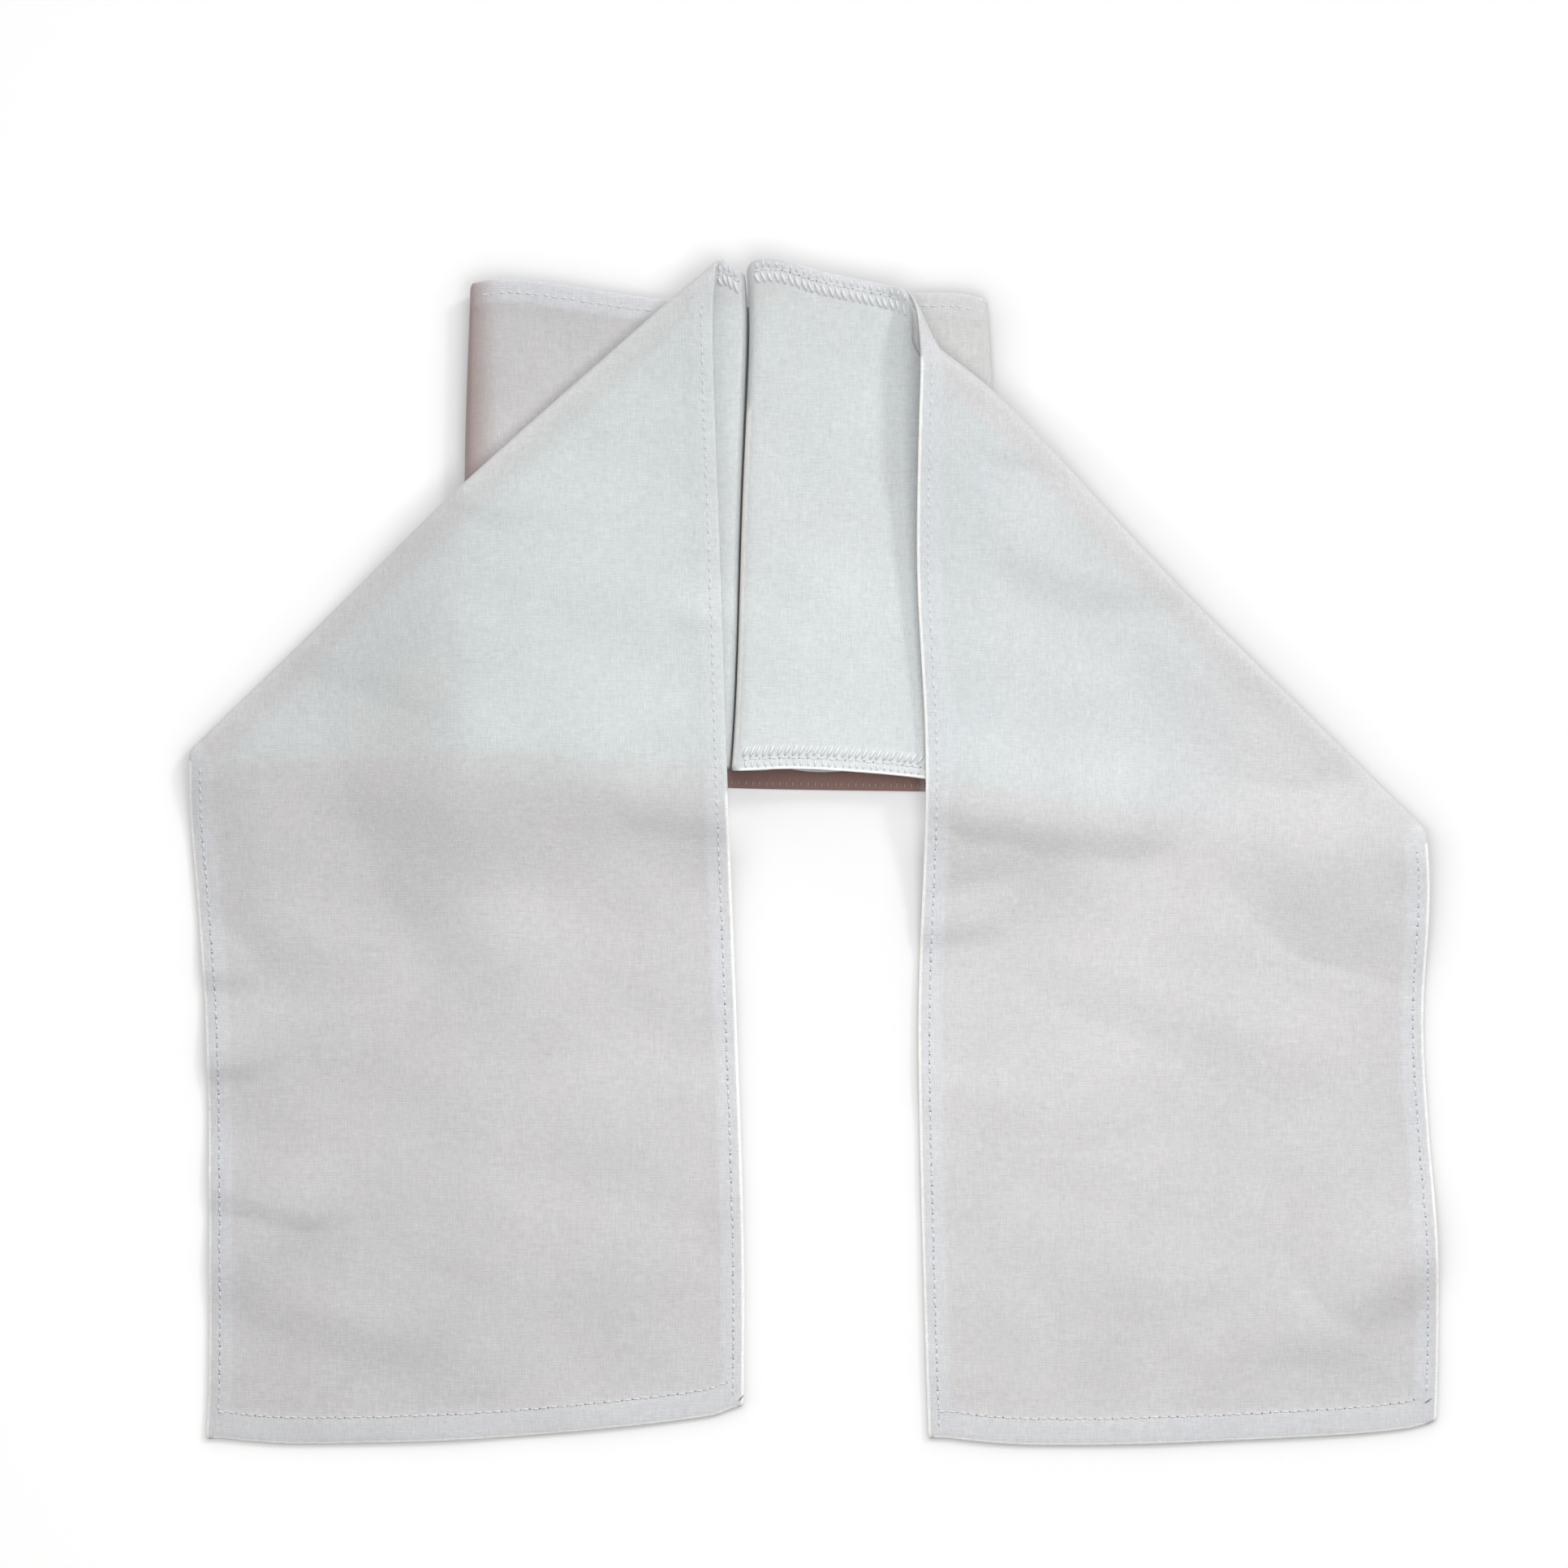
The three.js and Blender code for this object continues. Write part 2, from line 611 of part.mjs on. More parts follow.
// The neck as one run of cloth: from the channel over the left fold, along the surface, over the
// right fold and back to the channel. Inside, away from the edges, its two layers are one solid.
function neckStack() {
  const upper = {
    z: sampler(NECK_UPPER, "x", "z"),
    bottom: sampler(NECK_UPPER, "x", "bottom"),
    top: sampler(NECK_UPPER, "x", "top"),
  };
  const distances = acrossStrip(BAND_WIDTH, NECK_STEP);
  const shares = distances.map((d) => d / BAND_WIDTH);
  const upperAt = (x, v) =>
    new THREE.Vector3(x, lerp(upper.bottom(x), upper.top(x), v), upper.z(x));
  const lowerAt = (x, v) => new THREE.Vector3(x, lerp(neckBottom(x), neckTop(x), v), HALF);
  const xs = NECK_UPPER.map((row) => row.x);
  const leftXs = xs.filter((x) => x <= CHANNEL.left);
  const rightXs = xs.filter((x) => x >= CHANNEL.right);
  const outermost = { left: leftXs[0], right: rightXs[rightXs.length - 1] };
  const turn = (x, fold, outwards, descending) =>
    Array.from({ length: TURN_STEPS - 1 }, (_, k) => {
      const angle = (Math.PI * (descending ? k + 1 : TURN_STEPS - 1 - k)) / TURN_STEPS;
      return shares.map((v) => {
        const place = lowerAt(x, v).lerp(upperAt(x, v), (1 + Math.cos(angle)) / 2);
        const reach = Math.abs(fold(place.y) - x) - HALF;
        place.x += outwards * reach * Math.sin(angle);
        return place;
      });
    });
  const row = (at) => (x) => shares.map((v) => at(x, v));
  const parts = {
    upperLeft: [...leftXs].reverse().map(row(upperAt)),
    leftTurn: turn(outermost.left, neckLeft, -1, true),
    lowerLeft: leftXs.map(row(lowerAt)),
    channel: [(CHANNEL.left + CHANNEL.right) / 2].map(row(lowerAt)),
    lowerRight: rightXs.map(row(lowerAt)),
    rightTurn: turn(outermost.right, neckRight, 1, false),
    upperRight: [...rightXs].reverse().map(row(upperAt)),
  };
  const grid = Object.values(parts).flat();
  const upperRows = [parts.upperLeft.length, grid.length - parts.upperRight.length];
  const wall = wallGeometry(grid, (i, j) =>
    i < upperRows[0] || i >= upperRows[1]
      ? hemRise(Math.min(distances[j], BAND_WIDTH - distances[j]), SIDE_HEM)
      : 0,
  );
  const filled = distances.flatMap((d, j) =>
    d >= CORE_INSET && d <= BAND_WIDTH - CORE_INSET ? [j] : [],
  );
  const core = (rings) => coreGeometry(filled.map((j) => rings.map((ring) => ring[j])));
  const left = core([
    ...parts.upperLeft.slice(1),
    ...parts.leftTurn,
    ...parts.lowerLeft.slice(0, -1),
  ]);
  const right = core([
    ...parts.lowerRight.slice(1),
    ...parts.rightTurn,
    ...parts.upperRight.slice(0, -1),
  ]);
  return joined([wall, left, right]);
}

// A solid through a row of rings, closed at both ends.
function coreGeometry(rings) {
  const count = rings[0].length;
  const index = [];
  const flat = rings[0].map((p) => new THREE.Vector2(p.x, p.z));
  const caps = THREE.ShapeUtils.triangulateShape(flat, []);
  const last = (rings.length - 1) * count;
  const clockwise = THREE.ShapeUtils.isClockWise(flat);
  for (const [a, b, c] of caps) {
    index.push(a, b, c, last + a, last + c, last + b);
  }
  for (let k = 0; k < rings.length - 1; k++) {
    for (let i = 0; i < count; i++) {
      const next = (i + 1) % count;
      const [a, b, c, d] = [i, next, count + next, count + i].map((n) => n + k * count);
      if (clockwise) index.push(a, b, c, a, c, d);
      else index.push(a, c, b, a, d, c);
    }
  }
  return solidGeometry(rings.flat(), index);
}

const wasm = await Module();
wasm.setup();

function joined(geometries) {
  const solids = geometries.map((geometry) => {
    const position = mergeVertices(geometry, 1e-4);
    return new wasm.Manifold(
      new wasm.Mesh({
        numProp: 3,
        vertProperties: new Float32Array(position.attributes.position.array),
        triVerts: new Uint32Array(position.index.array),
      }),
    );
  });
  const mesh = wasm.Manifold.union(solids).getMesh();
  return new THREE.BufferGeometry()
    .setAttribute("position", new THREE.BufferAttribute(mesh.vertProperties, 3))
    .setIndex(new THREE.BufferAttribute(mesh.triVerts, 1));
}

const group = new THREE.Group();
group.name = "baptismal_stole";

function addPiece(name, geometry) {
  const piece = new THREE.Mesh(geometry, WHITE_CLOTH);
  piece.name = name;
  group.add(piece);
}

addPiece("neck_layers", neckStack());
addPiece("inner_band_left", innerBand("left"));
addPiece("inner_band_right", innerBand("right"));
addPiece("front_panel_left", frontPanel("left"));
addPiece("front_panel_right", frontPanel("right"));

export default group;
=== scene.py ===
"""A folded baptismal stole of thin white cloth, seen from above.

Each piece of cloth is a thin shell on the form of its solid, with finer creases. The hems carry
their stitching: a lockstitch along every edge, and the overlocked raw edge on the wrong side.
"""

import math

import bmesh
import bpy
import numpy as np
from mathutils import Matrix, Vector
from mathutils.bvhtree import BVHTree


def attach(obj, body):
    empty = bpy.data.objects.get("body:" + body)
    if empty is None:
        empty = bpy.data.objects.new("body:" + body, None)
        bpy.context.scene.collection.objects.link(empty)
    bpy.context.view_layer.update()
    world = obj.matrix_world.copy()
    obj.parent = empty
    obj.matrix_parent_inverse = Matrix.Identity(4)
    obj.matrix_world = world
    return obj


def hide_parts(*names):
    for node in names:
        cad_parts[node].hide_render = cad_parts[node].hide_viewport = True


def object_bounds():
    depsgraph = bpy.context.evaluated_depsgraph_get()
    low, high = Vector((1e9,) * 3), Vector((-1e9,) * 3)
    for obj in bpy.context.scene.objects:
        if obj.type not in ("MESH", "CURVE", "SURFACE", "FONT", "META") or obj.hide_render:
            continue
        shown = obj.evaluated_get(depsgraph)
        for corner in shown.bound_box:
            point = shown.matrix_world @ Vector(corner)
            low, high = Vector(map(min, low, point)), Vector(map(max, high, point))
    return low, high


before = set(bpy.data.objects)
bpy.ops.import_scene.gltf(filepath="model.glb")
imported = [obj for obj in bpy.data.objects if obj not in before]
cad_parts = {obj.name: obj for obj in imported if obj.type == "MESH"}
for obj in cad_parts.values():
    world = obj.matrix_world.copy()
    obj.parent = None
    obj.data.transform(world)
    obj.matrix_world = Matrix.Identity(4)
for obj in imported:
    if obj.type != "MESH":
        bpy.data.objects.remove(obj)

CAD_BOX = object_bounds()
MM = 0.001

# Hems.
SIDE_HEM = 6.3 * MM
END_HEM = 7.0 * MM
LOCKSTITCH = 2.5 * MM
STITCH_INSET = 3.0 * MM
OVERLOCK_PITCH = 1.85 * MM
PAINTED_HIGHLIGHT_WIDTH = 0.5 * MM  # width of the painted highlight on the cloth's turn right at its edge
WIDE_PAINTED_HIGHLIGHT = 0.8 * MM  # and of the painted highlight along the right band's centre fold
HOLES_UP_TO = 8 * MM  # above this y the needle holes of the front panels hardly show
HEM_BLUR = 0.9 * MM  # how far the look of a hem fades out to each side
HIDDEN_HEM = 0.6  # how much less a hem stands out where there is more cloth behind it

# How each front panel's edges are found, in millimetres: an edge runs from one y to another, or
# the end from one x to another, and is crossed from outside to inside. "bright" is the stretch of
# the inner edge that gets a painted highlight along its rim, as the outer edge and the end do.
PANEL_EDGES = {
    "left": {
        "outer": {"from": -156.5, "to": 24.0, "outside": -190.0, "inside": -150.0},
        "inner": {"from": -147.5, "to": 148.0, "outside": -5.0, "inside": -33.5},
        "end": {"from": -160.5, "to": -21.0, "outside": -175.0, "inside": -130.0},
        "bright": {"from": -147.5, "to": 16.0, "outside": -5.0, "inside": -33.5},
    },
    "right": {
        "outer": {"from": -151.5, "to": 2.0, "outside": 190.0, "inside": 150.0},
        "inner": {"from": -156.0, "to": 131.0, "outside": 10.0, "inside": 36.0},
        "end": {"from": 32.5, "to": 163.5, "outside": -175.0, "inside": -130.0},
        "bright": {"from": -156.0, "to": 131.0, "outside": 10.0, "inside": 36.0},
    },
}
# How much each layer below a front panel brightens it. On the right that fades out between two x.
PANEL_BACKING = {
    "left": {"neck_layers": 0.30, "inner_band_left": 0.66},
    "right": {"neck_layers": 0.15, "inner_band_right": 0.75},
}
RIGHT_FADES = {"from": 86 * MM, "to": 132 * MM}
# From which x to which the edges of the bands and of the lowest layer show, and from which y to
# which the right band's centre fold does, in millimetres.
BAND_EDGES = {
    "left": {"bottom": (-60, -24), "top": (-26.2, -20.0)},
    "right": {"bottom": (-19.5, 60), "top": (-16.5, 24), "centre": (24, 118)},
}
NECK_EDGES = {"tops": ((-90, -32), (-7, 44)), "bottom": (-88, 43)}
# Edges along x are crossed between these y, and the centre fold between these x, in metres.
FROM_BELOW = -0.02
FROM_ABOVE = 0.18
ON_TOPS = 0.12
ON_BAND = 0.08
ON_NECK = 0.06
FROM_LEFT = -0.06
ON_CENTRE = -0.005

# Where the stitching starts along a front panel's edges, and how far in it lies on the end hems
# and on the neck.
STITCH_STARTS = {"outer": 7 * MM, "inner": 2 * MM}
END_STITCH = END_HEM + 0.2 * MM
NECK_STITCH = STITCH_INSET + 0.6 * MM
# Ends of the sewing thread at the corners of the end hems, in millimetres.
THREAD_ENDS = {
    "left": {"from": (-20.3, -146.6), "to": (-19.2, -145.2)},
    "right": {"from": (163.2, -147.2), "to": (165.0, -146.0)},
}
THREAD_END_RADIUS = 0.2 * MM

# A lockstitch dips, crests and dips at these shares of its length, with a needle hole after it.
DASH_AT = (-0.32, 0.0, 0.32)
HOLE_AT = 0.5
DASH_LIFTS = (-0.05 * MM, 0.12 * MM, -0.05 * MM)
DASH_RADII = (0.15, 0.22)  # least and most, in millimetres, and the same for the holes
HOLE_RADII = (0.16, 0.3)
UNEVEN_ALONG = 0.08  # of a stitch's length
UNEVEN_INWARD = 0.09  # in millimetres
# A needle hole's rim, its raised middle and its root, from the cloth.
HOLE_SIDES = 6
HOLE_RIM = 0.02 * MM
HOLE_PEAK = 0.05 * MM
HOLE_ROOT = -0.2 * MM
# The overlock: distances in from the edge, and for the loops along it too, in millimetres.
BAR = (0.8, 1.6, 2.5)
LOOP = ((-0.6, 3.6), (-0.2, 4.5), (0.3, 5.5), (0.7, 6.4))
BAR_RADIUS = 0.32 * MM
LOOP_RADII = (0.40, 0.48)  # least and most, in millimetres
OVERLOCK_ENDS = -0.1  # a bar or loop dips into the cloth at its ends and lies on it between
OVERLOCK_LIFT = 0.14
UNEVEN_LOOPS = 0.12  # of the pitch
THREAD_SIDES = 5
THREAD_TAPER = 0.55  # of a thread's radius at its ends

# Soft ridges in the two front panels: from one place to another, with the width over which a
# ridge falls off on its steep side and its height, all in millimetres.
RIDGES = [
    {"from": (-158, 24), "to": (-138, -22), "width": 20, "rise": 1.0},
    {"from": (-124, 30), "to": (-117, 4), "width": 13, "rise": 0.4},
    {"from": (-106, -8), "to": (-66, -38), "width": 18, "rise": 0.6},
    {"from": (-170, -30), "to": (-158, -32), "width": 7, "rise": 1.0},
    {"from": (-168, -58), "to": (-156, -56), "width": 6, "rise": 0.8},
    {"from": (-166, -88), "to": (-136, -96), "width": 9, "rise": 0.9},
    {"from": (-146, -116), "to": (-108, -128), "width": 14, "rise": 0.7},
    {"from": (-100, -104), "to": (-60, -112), "width": 18, "rise": 0.5},
    {"from": (-46, 12), "to": (-26, 9), "width": 8, "rise": 0.7},
    {"from": (-60, -30), "to": (-30, -40), "width": 15, "rise": 0.5},
    {"from": (-34, 63), "to": (-22, 62), "width": 5, "rise": 0.5},
    {"from": (-92, 94), "to": (-82, 91), "width": 6, "rise": 0.5},
    {"from": (-140, 58), "to": (-108, 48), "width": 15, "rise": 0.6},
    {"from": (44, 10), "to": (82, 7), "width": 12, "rise": 1.9},
    {"from": (29, -8), "to": (50, 1), "width": 9, "rise": 0.7},
    {"from": (30, -20), "to": (44, -18), "width": 7, "rise": 0.9},
    {"from": (50, 108), "to": (68, 102), "width": 7, "rise": 0.7},
    {"from": (60, 80), "to": (90, 70), "width": 14, "rise": 1.7},
    {"from": (96, 56), "to": (130, 26), "width": 18, "rise": 1.4},
    {"from": (138, -14), "to": (172, -19), "width": 22, "rise": 2.7},
    {"from": (168, -106), "to": (144, -118), "width": 13, "rise": 1.2},
    {"from": (132, -128), "to": (106, -132), "width": 12, "rise": 0.5},
    {"from": (62, -108), "to": (100, -116), "width": 17, "rise": 0.5},
    {"from": (76, -30), "to": (126, -48), "width": 20, "rise": 0.8},
    {"from": (32, -60), "to": (70, -66), "width": 15, "rise": 0.5},
]
TOWARDS_LIGHT = (0.32, 0.95)  # a ridge falls off more gently on this side,
GENTLE = 2.2  # over this many times its width
UNEVEN = 0.22 * MM  # how far the cloth wanders up and down between its ridges,
# in waves with these lengths in millimetres, directions and phases
WAVES = [
    {"length": 61, "angle": 0.5, "phase": 0.0},
    {"length": 47, "angle": 1.9, "phase": 1.3},
    {"length": 34, "angle": 2.7, "phase": 4.1},
    {"length": 23, "angle": 1.2, "phase": 2.2},
]

SMOOTH_LEVELS = {
    "neck_layers": 2,
    "inner_band_left": 2,
    "inner_band_right": 2,
    "front_panel_left": 3,
    "front_panel_right": 3,
}
# Creases lift a piece's upper sheet: all of what lies this close under its top, and less down to
# the second depth.
ALL_LIFTED = 1.33 * MM
NONE_LIFTED = 2.47 * MM
HIGH = 0.2  # rays start this high
EDGE_PITCH = 0.5 * MM  # from one point of an edge to the next
EDGE_AVERAGE = 7  # so many of them are averaged
EDGE_HALVINGS = 14  # how often a crossing is halved to find the edge
NEARBY = 1 * MM  # an edge's direction is taken over this far to each side
BATCH = 4000  # so many places are measured at a time

GRID_STEP = 1.25 * MM  # of the grid on which the layers below a piece are counted
# The lowest layer is backed by more cloth from one x to another.
NECK_BACKED = {"none": -30 * MM, "all": 30 * MM}
# Painted shadow on the lowest layer: between two x, below one y and on its upper face between two
# z, each with the width over which it sets in. Its left fold gets painted shade too, to the left
# of x.
PAINTED_SHADOW_LIMITS = {
    "left": (-26 * MM, 2 * MM),
    "right": (31 * MM, 2 * MM),
    "top": (24 * MM, 2 * MM),
    "low": (0.35 * MM, 0.4 * MM),
    "high": (3.4 * MM, 0.6 * MM),
    "fold": (-83 * MM, 10 * MM),
}
# How far the painted shadow under the bands, and the painted shade on the left fold, take on its
# colour.
PAINTED_SHADOW_SHARE = 0.97
PAINTED_FOLD_SHADE_SHARE = 0.62

# The view: straight down on the stole.
VIEW_WIDTH = 0.420
VIEW_CENTRE = (-0.0083, 0.0183)
EYE_HEIGHT = 1.5
SENSOR = 36.0

# Colours.
THREAD_PITCH = 0.42 * MM  # from one thread of the weave to the next
# Each piece's cloth: one layer on the pale surface, and the same with more layers behind it.
CLOTH_COLOURS = {
    "left": {"thin": (0.602, 0.592, 0.598, 1), "backed": (0.612, 0.650, 0.652, 1)},
    "right": {"thin": (0.608, 0.598, 0.604, 1), "backed": (0.580, 0.612, 0.624, 1)},
    "band": {"thin": (0.600, 0.605, 0.610, 1), "backed": (0.611, 0.641, 0.645, 1)},
    "neck": {"thin": (0.557, 0.546, 0.554, 1), "backed": (0.598, 0.592, 0.591, 1)},
}
HEM_CLOTH = (0.642, 0.652, 0.677, 1)  # a turned hem
PAINTED_HIGHLIGHT_CLOTH = (0.92, 0.905, 0.88, 1)  # painted highlight where a hem turns over at its edge
PAINTED_SHADOW_CLOTH = (0.255, 0.146, 0.124, 1)  # painted shadow, brown with painted warm bounce light, on the lowest layer's edge deep under the bands and on its left fold
SLUB_LENGTH = 2.4 * MM  # of the thicker stretches of thread, seen as short streaks
SLUB_WIDTH = 0.38 * MM
LONG_THREAD = 16 * MM
LONG_TINTS = ((0.97, 0.955, 0.962, 1), (1.03, 1.045, 1.038, 1))
WARM = (1.015, 0.997, 0.992, 1)  # the cloth drifts slowly between these two,
COOL = (0.985, 1.002, 1.006, 1)
WARMTH_SCALE = 24.0
CLOUD = 0.07  # and by this share between lighter and darker
CLOUD_SCALE = 38.0
CLOUD_SHIFT = (0.3, 0.1, 0)
SLUB = 0.12  # by how much a thicker or thinner thread differs in colour,
SLUB_RELIEF = 1.2  # and how far it stands out beside the weave
WANDER = 0.12 * MM  # how far a thread strays from its straight line
WANDER_SCALE = 400.0
HEM_SHARE = 0.8  # how far a hem takes on its own colour
THREAD_COLOUR = (0.78, 0.79, 0.80, 1)
HOLE_COLOUR = (0.30, 0.30, 0.315, 1)
# the overlock bars along the lowest layer's edge: thread colour with painted shadow, warm-tinted
PAINTED_SHADOW_THREAD_COLOUR = (0.38, 0.275, 0.25, 1)
TWIST_SHADE = 0.86  # of a thread's colour, between its turns
TWIST_SCALE = 2500.0

# Floor and lights.
FLOOR_SIZE = 12.0
FLOOR_GREY = 0.60
FLOOR_DEPTH = 0.2 * MM  # the floor lies this far below the cloth
WORLD_STRENGTH = 0.20
SUN_COLOUR = (1.0, 0.997, 0.990)
# The direction towards each sun, how wide it looks in degrees, and its energy.
SUNS = [
    {"name": "key", "towards": (0.66, 0.56, 0.56), "angle": 9, "energy": 0.92},
    {"name": "window", "towards": (0.12, 0.80, 0.62), "angle": 70, "energy": 1.40},
    {"name": "fill", "towards": (-0.80, 0.10, 0.50), "angle": 50, "energy": 0.54},
]
# The soft lamp over the right front. The floor's own glow makes up for its fall-off with distance.
LAMP = {"place": (0.070, 0.020, 0.32), "size": 0.25, "energy": 0.586, "colour": (0.99, 0.998, 1.0)}
GLOW = {"near": 0.24, "far": 0.48, "reach": 0.30}
# Painted contact shadow: the floor darkens softly where cloth stands close by, but for the notch
# below the bands, which lies in their cast shadow already. The notch goes from one x to another,
# and between two y.
CLOSE_BY = 12 * MM
CLOSE_RAYS = 24
PAINTED_SHADOW_DEPTH = 0.42
SOFTNESS = 0.8  # below 1 the painted shadow reaches further out
NOTCH = {"from": -24 * MM, "to": 30 * MM, "low": -2 * MM, "full": 8 * MM, "high": 60 * MM}


# ---------------------------------------------------------------- shapes

def welded(node):
    """A bmesh of a solid with its triangles joined back into the quads of its wall."""
    bm = bmesh.new()
    bm.from_mesh(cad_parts[node].data)
    bmesh.ops.remove_doubles(bm, verts=bm.verts, dist=0.001 * MM)
    bmesh.ops.join_triangles(
        bm,
        faces=bm.faces,
        angle_face_threshold=math.radians(50),
        angle_shape_threshold=math.pi,
        topology_influence=2.0,
    )
    return bm


def new_object(name, data):
    piece = bpy.data.objects.new(name, data)
    bpy.context.scene.collection.objects.link(piece)
    return piece


def smoothed(node, name):
    """A new object with the solid's form, rounded by subdivision."""
    bm = welded(node)
    rough = bpy.data.meshes.new(name)
    bm.to_mesh(rough)
    bm.free()
    piece = new_object(name, rough)
    surface = piece.modifiers.new("round", "SUBSURF")
    surface.levels = SMOOTH_LEVELS[node]
    surface.render_levels = SMOOTH_LEVELS[node]
    surface.boundary_smooth = "PRESERVE_CORNERS"
    graph = bpy.context.evaluated_depsgraph_get()
    fine = bpy.data.meshes.new_from_object(piece.evaluated_get(graph))
    piece.modifiers.clear()
    piece.data = fine
    bpy.data.meshes.remove(rough)
    fine.name = name
    fine.shade_smooth()
    return piece


def points_of(mesh):
    flat = np.empty(len(mesh.vertices) * 3)
    mesh.vertices.foreach_get("co", flat)
    return flat.reshape(-1, 3)


def put_points(mesh, points):
    mesh.vertices.foreach_set("co", points.ravel())
    mesh.update()


def tree_of(mesh):
    return BVHTree.FromPolygons(
        [v.co for v in mesh.vertices], [tuple(p.vertices) for p in mesh.polygons]
    )


def top_at(tree, x, y):
    """The highest point of a mesh at a place, and the normal there, or two Nones."""
    point, normal, _, _ = tree.ray_cast(Vector((x, y, HIGH)), Vector((0, 0, -1)))
    return point, normal


def ease(t):
    t = np.clip(t, 0, 1)
    return t * t * (3 - 2 * t)


def ridge_height(x, y):
    height = np.zeros_like(x)
    for ridge in RIDGES:
        start = np.array(ridge["from"]) * MM
        along = np.array(ridge["to"]) * MM - start
        share = ((x - start[0]) * along[0] + (y - start[1]) * along[1]) / (along @ along)
        near = np.clip(share, 0, 1)
        past = x - start[0] - near * along[0], y - start[1] - near * along[1]
        distance = np.hypot(*past)
        side = (past[0] * TOWARDS_LIGHT[0] + past[1] * TOWARDS_LIGHT[1]) / (distance + 1e-9)
        width = ridge["width"] * MM * (1 + (GENTLE - 1) * ease((side + 1) / 2))
        rise = ridge["rise"] * MM * (1 - ease(distance / width))
        height = np.maximum(height, rise)
    return height


def unevenness(x, y):
    """Slow waves of several lengths and directions, from 0 up."""
    waves = np.zeros_like(x)
    for wave in WAVES:
        across = x * math.cos(wave["angle"]) + y * math.sin(wave["angle"])
        turns = across / (wave["length"] * MM)
        waves += np.sin(2 * math.pi * turns + wave["phase"]) / len(WAVES)
    return UNEVEN * (1 + waves)


def crease(piece):
    """Lifts the upper sheet of a piece by its ridges and slow waves."""
    mesh = piece.data
    tree = tree_of(mesh)
    points = points_of(mesh)
    lift = ridge_height(points[:, 0], points[:, 1]) + unevenness(points[:, 0], points[:, 1])
    for i, (x, y, z) in enumerate(points):
        top, _ = top_at(tree, x, y)
        depth = (top.z if top else z) - z
        lift[i] *= 1 - ease((depth - ALL_LIFTED) / (NONE_LIFTED - ALL_LIFTED))
    points[:, 2] += lift
    put_points(mesh, points)


# ---------------------------------------------------------------- masks

def layers_below(weights):
    """A function of place: how much cloth lies under a piece, softened, from 0 to 1."""
    low, high = CAD_BOX
    xs = np.arange(low[0], high[0], GRID_STEP)
    ys = np.arange(low[1], high[1], GRID_STEP)
    amount = np.zeros((len(xs), len(ys)))
    for other, weight in weights.items():
        tree = tree_of(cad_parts[other].data)
        for i, x in enumerate(xs):
            for j, y in enumerate(ys):
                if top_at(tree, x, y)[0]:
                    amount[i, j] += weight
    for axis in (0, 1):
        amount = (np.roll(amount, 1, axis) + amount * 2 + np.roll(amount, -1, axis)) / 4

    def at(x, y):
        i = np.clip((x - low[0]) / GRID_STEP, 0, len(xs) - 1.001)
        j = np.clip((y - low[1]) / GRID_STEP, 0, len(ys) - 1.001)
        i0, j0 = i.astype(int), j.astype(int)
        u, v = i - i0, j - j0
        left = amount[i0, j0] * (1 - v) + amount[i0, j0 + 1] * v
        right = amount[i0 + 1, j0] * (1 - v) + amount[i0 + 1, j0 + 1] * v
        return left * (1 - u) + right * u

    return at


def put_attribute(mesh, name, values):
    attribute = mesh.attributes.new(name, "FLOAT", "POINT")
    attribute.data.foreach_set("value", np.asarray(values, dtype=np.float32))


# ---------------------------------------------------------------- materials

def node_maker(material):
    tree = material.node_tree

    def make(kind, inputs=None, **settings):
        node = tree.nodes.new(kind)
        for key, value in settings.items():
            setattr(node, key, value)
        for key, value in (inputs or {}).items():
            if isinstance(value, bpy.types.NodeSocket):
                tree.links.new(value, node.inputs[key])
            else:
                node.inputs[key].default_value = value
        return node

    return make


def blank_material(name):
    material = bpy.data.materials.new(name)
    material.use_nodes = True
    material.node_tree.nodes.clear()
    return material


def mixed(make, share, low, high, mode="MIX"):
    node = make("ShaderNodeMix", data_type="RGBA", blend_type=mode)
    tree = node.id_data
    for socket, value in ((node.inputs[0], share), (node.inputs[6], low), (node.inputs[7], high)):
        if isinstance(value, bpy.types.NodeSocket):
            tree.links.new(value, socket)
        else:
            socket.default_value = value
    return node.outputs[2]


def math_node(make, operation, *values):
    inputs = dict(enumerate(values))
    return make("ShaderNodeMath", inputs, operation=operation).outputs[0]


def grey(value):
    return (value, value, value, 1)


